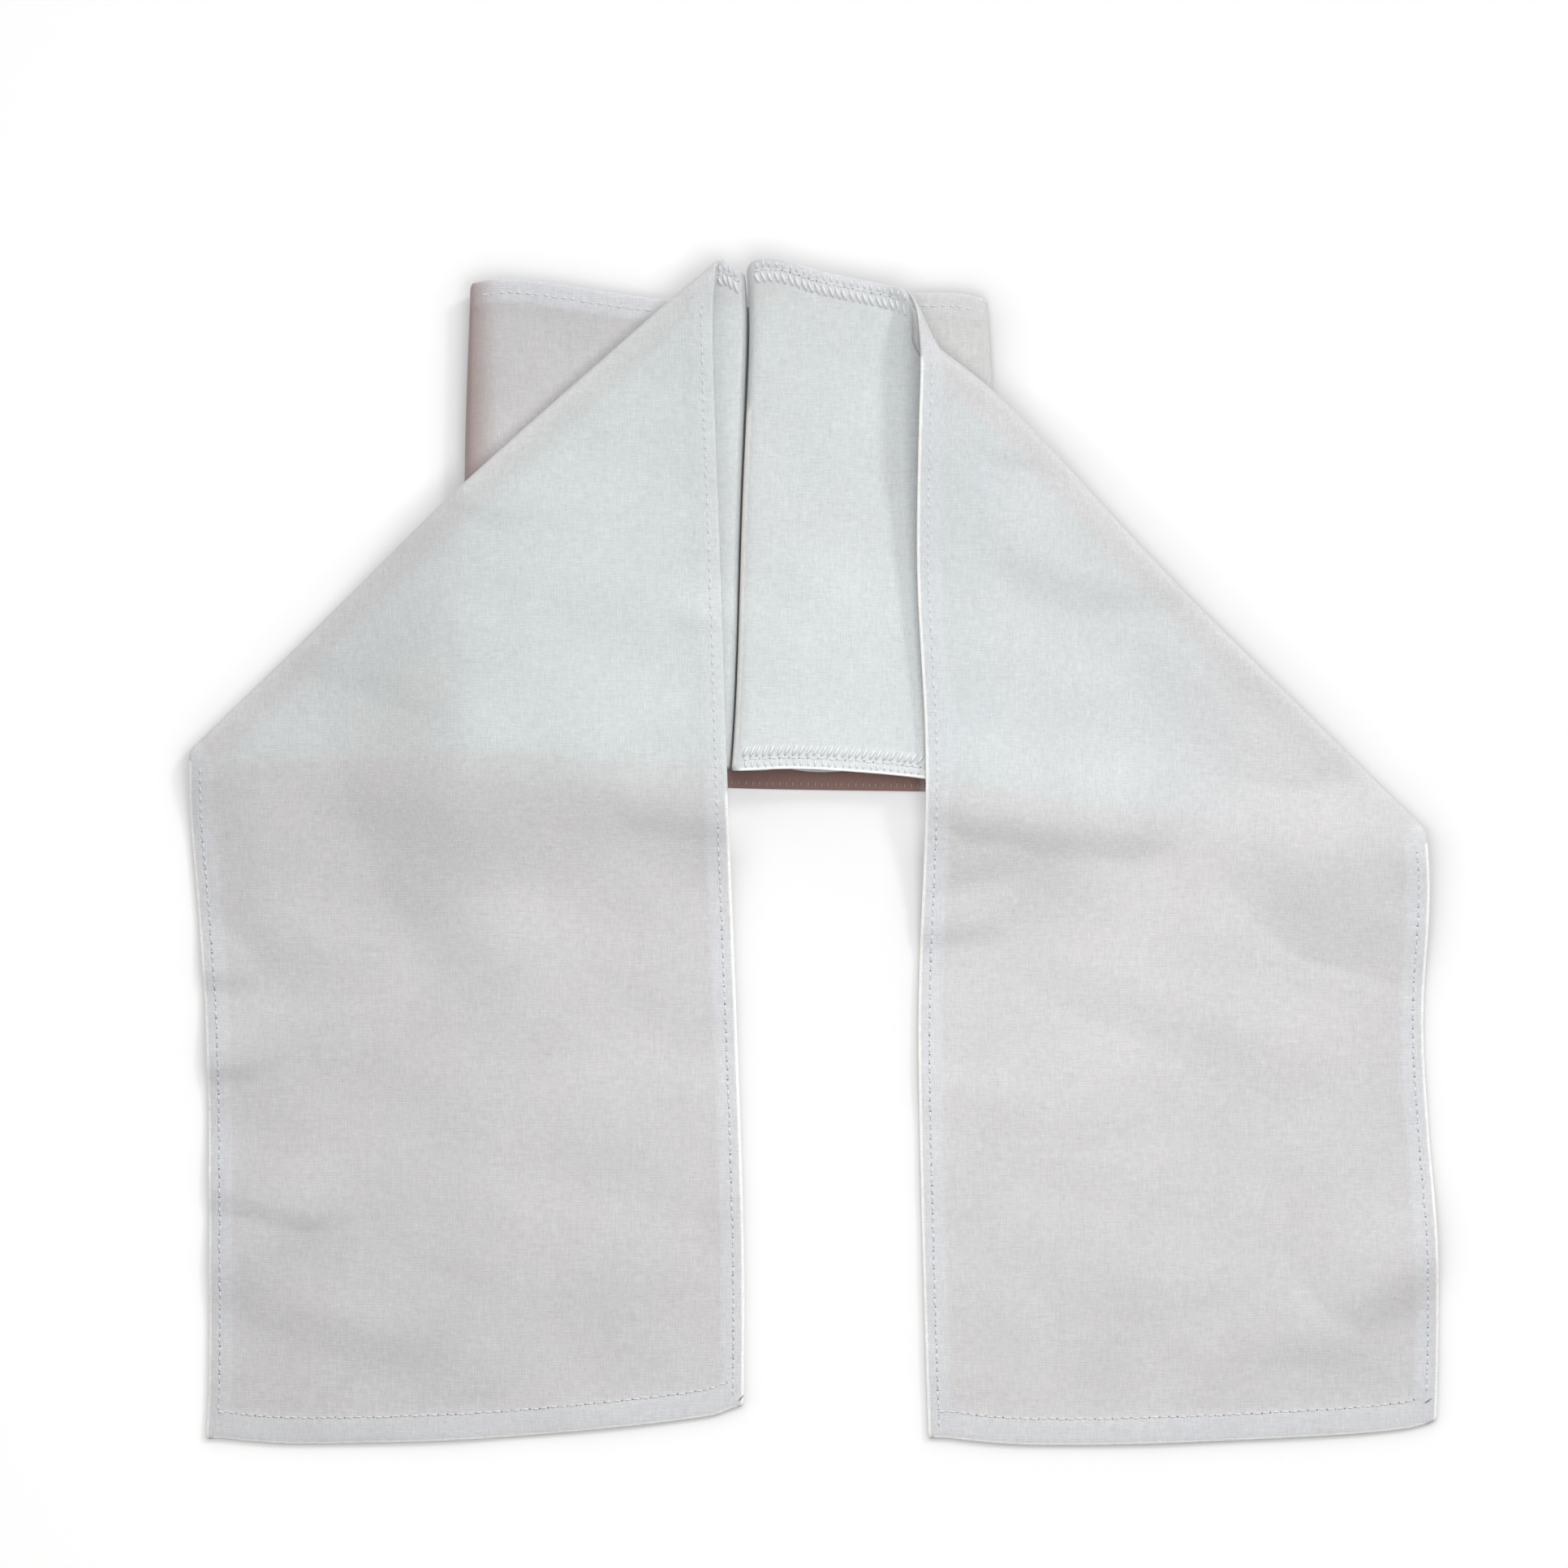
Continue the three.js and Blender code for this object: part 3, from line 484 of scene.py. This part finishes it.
def cloth_material(name, thin, backed):
    material = blank_material(f"stole_cloth_{name}")
    make = node_maker(material)
    place = make("ShaderNodeTexCoord").outputs["Object"]

    def mask(name):
        return make("ShaderNodeAttribute", attribute_name=name).outputs["Fac"]

    def noise(vector, scale, detail=2.0):
        inputs = {"Vector": vector, "Scale": scale, "Detail": detail}
        return make("ShaderNodeTexNoise", inputs).outputs["Fac"]

    def streaks(x_size, y_size):
        scale = (1 / x_size, 1 / y_size, 1 / SLUB_WIDTH)
        stretched = make("ShaderNodeMapping", {"Vector": place, "Scale": scale}).outputs["Vector"]
        return noise(stretched, 1.0, detail=1.0)

    colour = mixed(make, mask("backing"), thin, backed)
    hem = math_node(make, "MULTIPLY", mask("hem"), HEM_SHARE)
    colour = mixed(make, hem, colour, HEM_CLOTH)
    # Painted highlight along the edges and the right band's centre fold, where the rim mask says
    # so.
    colour = mixed(make, mask("rim"), colour, PAINTED_HIGHLIGHT_CLOTH)
    # Slow drifts between warmer and cooler white, and between lighter and darker.
    tints = [mixed(make, noise(place, WARMTH_SCALE, detail=3.0), WARM, COOL)]
    shifted = make("ShaderNodeMapping", {"Vector": place, "Location": CLOUD_SHIFT})
    cloud = noise(shifted.outputs["Vector"], CLOUD_SCALE, detail=1.5)
    tints.append(mixed(make, cloud, grey(1 - CLOUD), grey(1 + CLOUD)))
    # Uneven threads, along and across, and a few that show over a longer stretch.
    weft = streaks(SLUB_LENGTH, SLUB_WIDTH)
    warp = streaks(SLUB_WIDTH, SLUB_LENGTH)
    tints += [mixed(make, thread, grey(1 - SLUB), grey(1 + SLUB)) for thread in (weft, warp)]
    for size in ((LONG_THREAD, SLUB_WIDTH), (SLUB_WIDTH, LONG_THREAD)):
        tints.append(mixed(make, streaks(*size), *LONG_TINTS))
    for tint in tints:
        colour = mixed(make, 1.0, colour, tint, "MULTIPLY")
    # Painted shadow, warm-tinted, where the shade mask says so: under the bands and on the neck's
    # left fold.
    colour = mixed(make, mask("shade"), colour, PAINTED_SHADOW_CLOTH)
    # The weave: threads along x and along y, each passing over and under. A wave texture of scale
    # s repeats every 2 pi / (20 s).
    wave = 2 * math.pi / (20 * THREAD_PITCH)
    wander = make("ShaderNodeTexNoise", {"Vector": place, "Scale": WANDER_SCALE}).outputs["Color"]
    bent = make("ShaderNodeMix", data_type="VECTOR", factor_mode="UNIFORM")
    bent.inputs[0].default_value = WANDER
    material.node_tree.links.new(place, bent.inputs[4])
    material.node_tree.links.new(wander, bent.inputs[5])
    threads = [
        make(
            "ShaderNodeTexWave",
            {"Vector": bent.outputs[1], "Scale": wave},
            bands_direction=direction,
        ).outputs["Fac"]
        for direction in ("X", "Y")
    ]
    weave = math_node(make, "MULTIPLY", *threads)
    slubs = math_node(make, "ADD", weft, warp)
    relief = math_node(make, "ADD", weave, math_node(make, "MULTIPLY", slubs, SLUB_RELIEF))
    bump = make("ShaderNodeBump", {"Height": relief, "Strength": 0.4, "Distance": 0.1 * MM})
    shader = make(
        "ShaderNodeBsdfPrincipled",
        {
            "Base Color": colour,
            "Normal": bump.outputs["Normal"],
            "Roughness": 0.78,
            "Specular IOR Level": 0.3,
            "Sheen Weight": 0.1,
            "Sheen Roughness": 0.4,
        },
    )
    make("ShaderNodeOutputMaterial", {"Surface": shader.outputs["BSDF"]})
    return material


def thread_material(name, colour):
    material = blank_material(name)
    make = node_maker(material)
    place = make("ShaderNodeTexCoord").outputs["Object"]
    noise = make("ShaderNodeTexNoise", {"Vector": place, "Scale": TWIST_SCALE}).outputs["Fac"]
    darker = tuple(TWIST_SHADE * c for c in colour[:3]) + (1,)
    twisted = mixed(make, noise, darker, colour)
    bump = make("ShaderNodeBump", {"Height": noise, "Strength": 0.5, "Distance": 0.05 * MM})
    shader = make(
        "ShaderNodeBsdfPrincipled",
        {
            "Base Color": twisted,
            "Normal": bump.outputs["Normal"],
            "Roughness": 0.55,
            "Sheen Weight": 0.1,
        },
    )
    make("ShaderNodeOutputMaterial", {"Surface": shader.outputs["BSDF"]})
    return material


CLOTH_MATERIALS = {
    name: cloth_material(name, colours["thin"], colours["backed"])
    for name, colours in CLOTH_COLOURS.items()
}
THREAD_MATERIAL = thread_material("stole_thread", THREAD_COLOUR)
HOLE_MATERIAL = thread_material("needle_holes", HOLE_COLOUR)
# Thread with painted shadow, for the bars in the lowest layer's painted shadow.
PAINTED_SHADOW_THREAD = thread_material("painted_shadow_thread", PAINTED_SHADOW_THREAD_COLOUR)


# ---------------------------------------------------------------- edges and stitches

class Edge:
    """An edge of a piece seen from above, found by crossing it from outside to inside."""

    def __init__(self, piece, crossings, inward=None):
        self.tree = tree_of(piece.data)
        self.inward = inward
        found = [self.cross(*ends) for ends in crossings]
        points = np.array([p for p in found if p is not None])
        steps = np.hypot(*np.diff(points, axis=0).T)
        self.arc = np.concatenate([[0], np.cumsum(steps)])
        even = np.arange(0, self.arc[-1], EDGE_PITCH)
        smooth = np.stack([np.interp(even, self.arc, points[:, k]) for k in (0, 1)], axis=1)
        kernel = np.ones(EDGE_AVERAGE) / EDGE_AVERAGE
        for k in (0, 1):
            padded = np.pad(smooth[:, k], EDGE_AVERAGE // 2, mode="reflect", reflect_type="odd")
            smooth[:, k] = np.convolve(padded, kernel, mode="valid")
        self.arc = even
        self.points = smooth
        outside, inside = crossings[len(crossings) // 2]
        self.side = np.array(inside) - np.array(outside)
        self.length = even[-1]

    def cross(self, outside, inside):
        low, high = np.array(outside, float), np.array(inside, float)
        if top_at(self.tree, *low)[0] or not top_at(self.tree, *high)[0]:
            return None
        for _ in range(EDGE_HALVINGS):
            middle = (low + high) / 2
            if top_at(self.tree, *middle)[0]:
                high = middle
            else:
                low = middle
        return (low + high) / 2

    def at(self, arc, inset):
        """The place on the cloth at a length along the edge and a distance in from it."""
        here, ahead, behind = (
            np.array([np.interp(arc + shift, self.arc, self.points[:, k]) for k in (0, 1)])
            for shift in (0, NEARBY, -NEARBY)
        )
        tangent = (ahead - behind) / np.linalg.norm(ahead - behind)
        inward = np.array([-tangent[1], tangent[0]])
        if inward @ self.side < 0:
            inward = -inward
        if self.inward:
            inward = np.array(self.inward)
        return top_at(self.tree, *(here + inward * inset))


def add_thread(bm, path, radius, material=0):
    """A round thread through a path of points, closed at both ends."""
    rings = []
    for k, point in enumerate(path):
        ahead = path[min(k + 1, len(path) - 1)]
        behind = path[max(k - 1, 0)]
        forward = (ahead - behind).normalized()
        sideways = forward.cross(Vector((0, 0, 1))).normalized()
        upwards = sideways.cross(forward)
        size = radius * (THREAD_TAPER if k in (0, len(path) - 1) else 1.0)
        ring = []
        for s in range(THREAD_SIDES):
            angle = 2 * math.pi * s / THREAD_SIDES
            offset = sideways * math.cos(angle) + upwards * math.sin(angle)
            ring.append(bm.verts.new(point + offset * size))
        rings.append(ring)
    faces = [bm.faces.new(rings[0][::-1]), bm.faces.new(rings[-1])]
    for a, b in zip(rings, rings[1:]):
        for s in range(THREAD_SIDES):
            t = (s + 1) % THREAD_SIDES
            faces.append(bm.faces.new((a[s], a[t], b[t], b[s])))
    for face in faces:
        face.material_index = material


def add_hole(bm, point, normal, radius):
    """A small dark dimple where the needle went through."""
    sideways = normal.orthogonal().normalized()
    forward = normal.cross(sideways)
    ring = []
    for s in range(HOLE_SIDES):
        angle = 2 * math.pi * s / HOLE_SIDES
        offset = sideways * math.cos(angle) + forward * math.sin(angle)
        ring.append(bm.verts.new(point + offset * radius + normal * HOLE_RIM))
    peak = bm.verts.new(point + normal * HOLE_PEAK)
    root = bm.verts.new(point + normal * HOLE_ROOT)
    for s in range(HOLE_SIDES):
        t = (s + 1) % HOLE_SIDES
        bm.faces.new((ring[s], ring[t], peak)).material_index = 1
        bm.faces.new((ring[t], ring[s], root)).material_index = 1


def add_lockstitch(bm, edge, inset, start=0.0, holes_up_to=None):
    """Thread dashes between needle holes along an edge, each a little different."""
    chance = np.random.default_rng(11)
    for k in range(int((edge.length - start) / LOCKSTITCH)):
        arc = start + (k + 0.5 + chance.uniform(-UNEVEN_ALONG, UNEVEN_ALONG)) * LOCKSTITCH
        depth = inset + chance.uniform(-UNEVEN_INWARD, UNEVEN_INWARD) * MM
        marks = [edge.at(arc + share * LOCKSTITCH, depth) for share in (*DASH_AT, HOLE_AT)]
        radius = chance.uniform(*DASH_RADII) * MM
        hole = chance.uniform(*HOLE_RADII) * MM
        if any(point is None for point, _ in marks):
            continue
        path = [point + normal * lift for (point, normal), lift in zip(marks, DASH_LIFTS)]
        add_thread(bm, path, radius)
        if holes_up_to is None or marks[-1][0].y < holes_up_to:
            add_hole(bm, *marks[-1], hole)


def add_overlock(bm, edge, loops=True):
    """The overlocked raw edge inside a turned hem: short bars by the fold, then slanted loops."""
    chance = np.random.default_rng(5)
    for k in range(round(edge.length / OVERLOCK_PITCH)):
        arc = (k + 0.5 + chance.uniform(-UNEVEN_LOOPS, UNEVEN_LOOPS)) * OVERLOCK_PITCH
        bar = [edge.at(arc, inset * MM) for inset in BAR]
        loop = [edge.at(arc + shift * MM, inset * MM) for shift, inset in LOOP]
        for marks, radius in ((bar, BAR_RADIUS), (loop, chance.uniform(*LOOP_RADII) * MM)):
            if any(point is None for point, _ in marks) or (marks is loop and not loops):
                continue
            last = len(marks) - 1
            path = [
                point + normal * (OVERLOCK_ENDS if i in (0, last) else OVERLOCK_LIFT) * MM
                for i, (point, normal) in enumerate(marks)
            ]
            add_thread(bm, path, radius)


def stitches(name, build, thread=THREAD_MATERIAL):
    """A piece of sewing, made by a function that adds it to a bmesh."""
    bm = bmesh.new()
    build(bm)
    bmesh.ops.recalc_face_normals(bm, faces=bm.faces)
    mesh = bpy.data.meshes.new(name)
    bm.to_mesh(mesh)
    bm.free()
    mesh.materials.append(thread)
    mesh.materials.append(HOLE_MATERIAL)
    mesh.shade_smooth()
    piece = new_object(name, mesh)
    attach(piece, "root")
    return piece


# ---------------------------------------------------------------- the cloth

def across(y_values, outside, inside):
    return [((outside, y), (inside, y)) for y in y_values]


def upwards(x_values, outside, inside):
    return [((x, outside), (x, inside)) for x in x_values]


def span(first, last, step=1 * MM):
    count = max(2, int(abs(last - first) / step))
    return np.linspace(first, last, count)


def hem_share(distance, width):
    """1 on a hem of a given width and 0 further in, softly."""
    return 1 - ease((distance - width + HEM_BLUR) / (2 * HEM_BLUR))


def distance_to(edges, x, y):
    """How far each place lies from the nearest of several edges, seen from above."""
    nearest = np.full(len(x), np.inf)
    for edge in edges:
        for start in range(0, len(x), BATCH):
            part = slice(start, start + BATCH)
            squared = (x[part, None] - edge.points[:, 0]) ** 2
            squared += (y[part, None] - edge.points[:, 1]) ** 2
            nearest[part] = np.minimum(nearest[part], np.sqrt(squared.min(axis=1)))
    return nearest


def finish_cloth(piece, node, cloth, side_edges, end_edges, backing, shade=None, rims=()):
    """Gives a piece its masks, its material and its place in the frame."""
    mesh = piece.data
    points = points_of(mesh)
    x, y = points[:, 0], points[:, 1]
    hem = hem_share(distance_to(side_edges, x, y), SIDE_HEM)
    if end_edges:
        hem = np.maximum(hem, hem_share(distance_to(end_edges, x, y), END_HEM))
    behind = backing(x, y)
    rim = np.zeros(len(x))
    # The rim mask: where the painted highlight lies, near each given edge.
    for edge, width in rims:
        rim = np.maximum(rim, 1 - ease(distance_to([edge], x, y) / width - 1))
    put_attribute(mesh, "hem", hem * (1 - HIDDEN_HEM * behind))
    put_attribute(mesh, "rim", rim)
    put_attribute(mesh, "backing", behind)
    # The mask of painted shadow, zero where a piece has none.
    put_attribute(mesh, "shade", shade(points) if shade else np.zeros(len(x)))
    mesh.materials.clear()
    mesh.materials.append(CLOTH_MATERIALS[cloth])
    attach(piece, "root")
    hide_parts(node)


def panel_edge(piece, side, name):
    """One of a front panel's free edges."""
    row = {key: value * MM for key, value in PANEL_EDGES[side][name].items()}
    crossings = upwards if name == "end" else across
    stations = span(row["from"], row["to"])
    return Edge(piece, crossings(stations, row["outside"], row["inside"]))


def panel_backing(side):
    """How much cloth lies under a front panel, as a function of place."""
    below = layers_below(PANEL_BACKING[side])
    if side == "left":
        return below
    reach = RIGHT_FADES["to"] - RIGHT_FADES["from"]
    return lambda x, y: below(x, y) * (1 - ease((x - RIGHT_FADES["from"]) / reach))


def front_panel(side):
    """One of the two fronts, with its slanting fold, its hems and their lockstitch."""
    node = f"front_panel_{side}"
    piece = smoothed(node, f"cloth_front_{side}")
    crease(piece)
    outer, inner, end, bright = [panel_edge(piece, side, name) for name in PANEL_EDGES[side]]
    # A painted highlight along the outer edge, the end and the bright stretch of the inner edge.
    rims = [(edge, PAINTED_HIGHLIGHT_WIDTH) for edge in (outer, end, bright)]
    finish_cloth(piece, node, side, [outer, inner], [end], panel_backing(side), rims=rims)

    def build(bm):
        for edge, start in ((outer, STITCH_STARTS["outer"]), (inner, STITCH_STARTS["inner"])):
            add_lockstitch(bm, edge, STITCH_INSET, start=start, holes_up_to=HOLES_UP_TO)
        add_lockstitch(bm, end, END_STITCH)
        tail = THREAD_ENDS[side]
        start, stop = (Vector((x * MM, y * MM)) for x, y in (tail["from"], tail["to"]))
        marks = [top_at(end.tree, *start.lerp(stop, share)) for share in (0, 0.5, 1)]
        path = [point + normal * THREAD_END_RADIUS for point, normal in marks if point]
        add_thread(bm, path, THREAD_END_RADIUS, material=1)

    seams = stitches(f"lockstitch_front_{side}", build)


def inner_band(side):
    """A band that shows its wrong side, with the overlocked raw edges of both its hems."""
    node = f"inner_band_{side}"
    piece = smoothed(node, f"cloth_band_{side}")
    crease(piece)
    shown = {
        name: span(first * MM, last * MM, step=0.5 * MM if name == "top" else 1 * MM)
        for name, (first, last) in BAND_EDGES[side].items()
    }
    bottom = Edge(piece, upwards(shown["bottom"], FROM_BELOW, ON_BAND))
    top = Edge(piece, upwards(shown["top"], FROM_ABOVE, ON_TOPS), inward=(0, -1))
    # A painted highlight along the bottom edge, and a wider one along the centre fold.
    rims = [(bottom, PAINTED_HIGHLIGHT_WIDTH)]
    if "centre" in shown:
        centre = Edge(piece, across(shown["centre"], FROM_LEFT, ON_CENTRE))
        rims.append((centre, WIDE_PAINTED_HIGHLIGHT))
    below = layers_below({"neck_layers": 1.0})
    finish_cloth(piece, node, "band", [bottom, top], [], below, rims=rims)

    def build(bm):
        add_overlock(bm, bottom)
        add_overlock(bm, top)
        add_lockstitch(bm, bottom, STITCH_INSET)
        add_lockstitch(bm, top, STITCH_INSET)

    seams = stitches(f"overlock_band_{side}", build)


def neck():
    """The back of the neck, lockstitched along its top and overlocked along its bottom, where
    cloth and bars get painted shadow.
    """
    node = "neck_layers"
    piece = smoothed(node, "cloth_neck")
    crease(piece)
    tops = [
        Edge(piece, upwards(span(first * MM, last * MM), FROM_ABOVE, ON_TOPS))
        for first, last in NECK_EDGES["tops"]
    ]
    first, last = NECK_EDGES["bottom"]
    bottom = Edge(piece, upwards(span(first * MM, last * MM), FROM_BELOW, ON_NECK))
    finish_cloth(piece, node, "neck", [*tops, bottom], [], neck_backing, painted_deep_shadow)

    def build_tops(bm):
        for top in tops:
            add_lockstitch(bm, top, NECK_STITCH, holes_up_to=0)

    def build_bars(bm):
        add_overlock(bm, bottom, loops=False)

    seams = [
        stitches("lockstitch_neck", build_tops),
        # The bars take the thread colour with painted shadow.
        stitches("overlock_neck", build_bars, PAINTED_SHADOW_THREAD),
    ]


def neck_backing(x, y):
    """The same for the lowest layer, where it depends on x alone."""
    return ease((x - NECK_BACKED["none"]) / (NECK_BACKED["all"] - NECK_BACKED["none"]))


def painted_deep_shadow(points):
    """Painted shadow where the lowest layer shows below the bands, deep in their shade, and
    painted shade on its left fold.
    """

    def above(value, name):
        limit, fade = PAINTED_SHADOW_LIMITS[name]
        return ease((value - limit) / fade)

    def below(value, name):
        limit, fade = PAINTED_SHADOW_LIMITS[name]
        return ease((limit - value) / fade)

    x, y, z = points.T
    under_bands = above(x, "left") * below(x, "right") * below(y, "top")
    upper_face = above(z, "low") * below(z, "high")
    return np.maximum(PAINTED_SHADOW_SHARE * under_bands * upper_face, PAINTED_FOLD_SHADE_SHARE * below(x, "fold"))


neck()
for side in ("left", "right"):
    inner_band(side)
for side in ("left", "right"):
    front_panel(side)


# ---------------------------------------------------------------- floor, light and camera

def floor():
    bm = bmesh.new()
    signs = ((-1, -1), (1, -1), (1, 1), (-1, 1))
    bm.faces.new([bm.verts.new((x * FLOOR_SIZE, y * FLOOR_SIZE, 0)) for x, y in signs])
    mesh = bpy.data.meshes.new("floor")
    bm.to_mesh(mesh)
    bm.free()
    material = blank_material("floor")
    make = node_maker(material)
    place = make("ShaderNodeTexCoord").outputs["Object"]
    below_lamp = (*LAMP["place"][:2], 0)
    away = make("ShaderNodeVectorMath", {0: place, 1: below_lamp}, operation="DISTANCE")
    glow = make(
        "ShaderNodeMapRange",
        {
            "Value": away.outputs["Value"],
            "From Max": GLOW["reach"],
            "To Min": GLOW["near"],
            "To Max": GLOW["far"],
        },
    )
    spot = make("ShaderNodeSeparateXYZ", {"Vector": place})
    fade = {"From Min": NOTCH["low"], "From Max": NOTCH["full"]}
    in_notch = make("ShaderNodeMapRange", {"Value": spot.outputs["Y"], **fade}).outputs["Result"]
    for operation, socket, limit in (
        ("LESS_THAN", "Y", NOTCH["high"]),
        ("GREATER_THAN", "X", NOTCH["from"]),
        ("LESS_THAN", "X", NOTCH["to"]),
    ):
        side = math_node(make, operation, spot.outputs[socket], limit)
        in_notch = math_node(make, "MULTIPLY", in_notch, side)
    depth = math_node(make, "MULTIPLY_ADD", in_notch, -PAINTED_SHADOW_DEPTH, PAINTED_SHADOW_DEPTH)
    # Painted contact shadow: ambient occlusion darkens the floor's colour and its glow.
    open_sky = make("ShaderNodeAmbientOcclusion", {"Distance": CLOSE_BY}, samples=CLOSE_RAYS)
    closed = math_node(make, "SUBTRACT", 1.0, open_sky.outputs["AO"])
    closed = math_node(make, "POWER", closed, SOFTNESS)
    lit = math_node(make, "SUBTRACT", 1.0, math_node(make, "MULTIPLY", closed, depth))
    shader = make(
        "ShaderNodeBsdfPrincipled",
        {
            "Base Color": mixed(make, 1.0, grey(FLOOR_GREY), lit, "MULTIPLY"),
            "Roughness": 0.9,
            "Specular IOR Level": 0.2,
            "Emission Color": grey(1.0),
            "Emission Strength": math_node(make, "MULTIPLY", glow.outputs["Result"], lit),
        },
    )
    make("ShaderNodeOutputMaterial", {"Surface": shader.outputs["BSDF"]})
    mesh.materials.append(material)
    plane = new_object("floor", mesh)
    plane.location.z = -FLOOR_DEPTH


def lights():
    scene = bpy.context.scene
    world = bpy.data.worlds.new("studio")
    scene.world = world
    world.use_nodes = True
    background = world.node_tree.nodes["Background"]
    background.inputs["Color"].default_value = (1.0, 1.0, 1.0, 1)
    background.inputs["Strength"].default_value = WORLD_STRENGTH
    for row in SUNS:
        sun = bpy.data.lights.new(row["name"], "SUN")
        sun.energy = row["energy"]
        sun.angle = math.radians(row["angle"])
        sun.color = SUN_COLOUR
        source = new_object(row["name"], sun)
        source.rotation_euler = Vector(row["towards"]).to_track_quat("Z", "Y").to_euler()
    panel = bpy.data.lights.new("overhead", "AREA")
    panel.shape = "SQUARE"
    panel.size = LAMP["size"]
    panel.energy = LAMP["energy"]
    panel.color = LAMP["colour"]
    overhead = new_object("overhead", panel)
    overhead.location = LAMP["place"]
    overhead.visible_camera = False


def camera():
    scene = bpy.context.scene
    data = bpy.data.cameras.new("camera")
    data.sensor_width = SENSOR
    data.lens = SENSOR * EYE_HEIGHT / VIEW_WIDTH
    eye = new_object("camera", data)
    eye.location = (*VIEW_CENTRE, EYE_HEIGHT)
    scene.camera = eye


floor()
lights()
camera()
bpy.context.scene.view_settings.view_transform = "Standard"
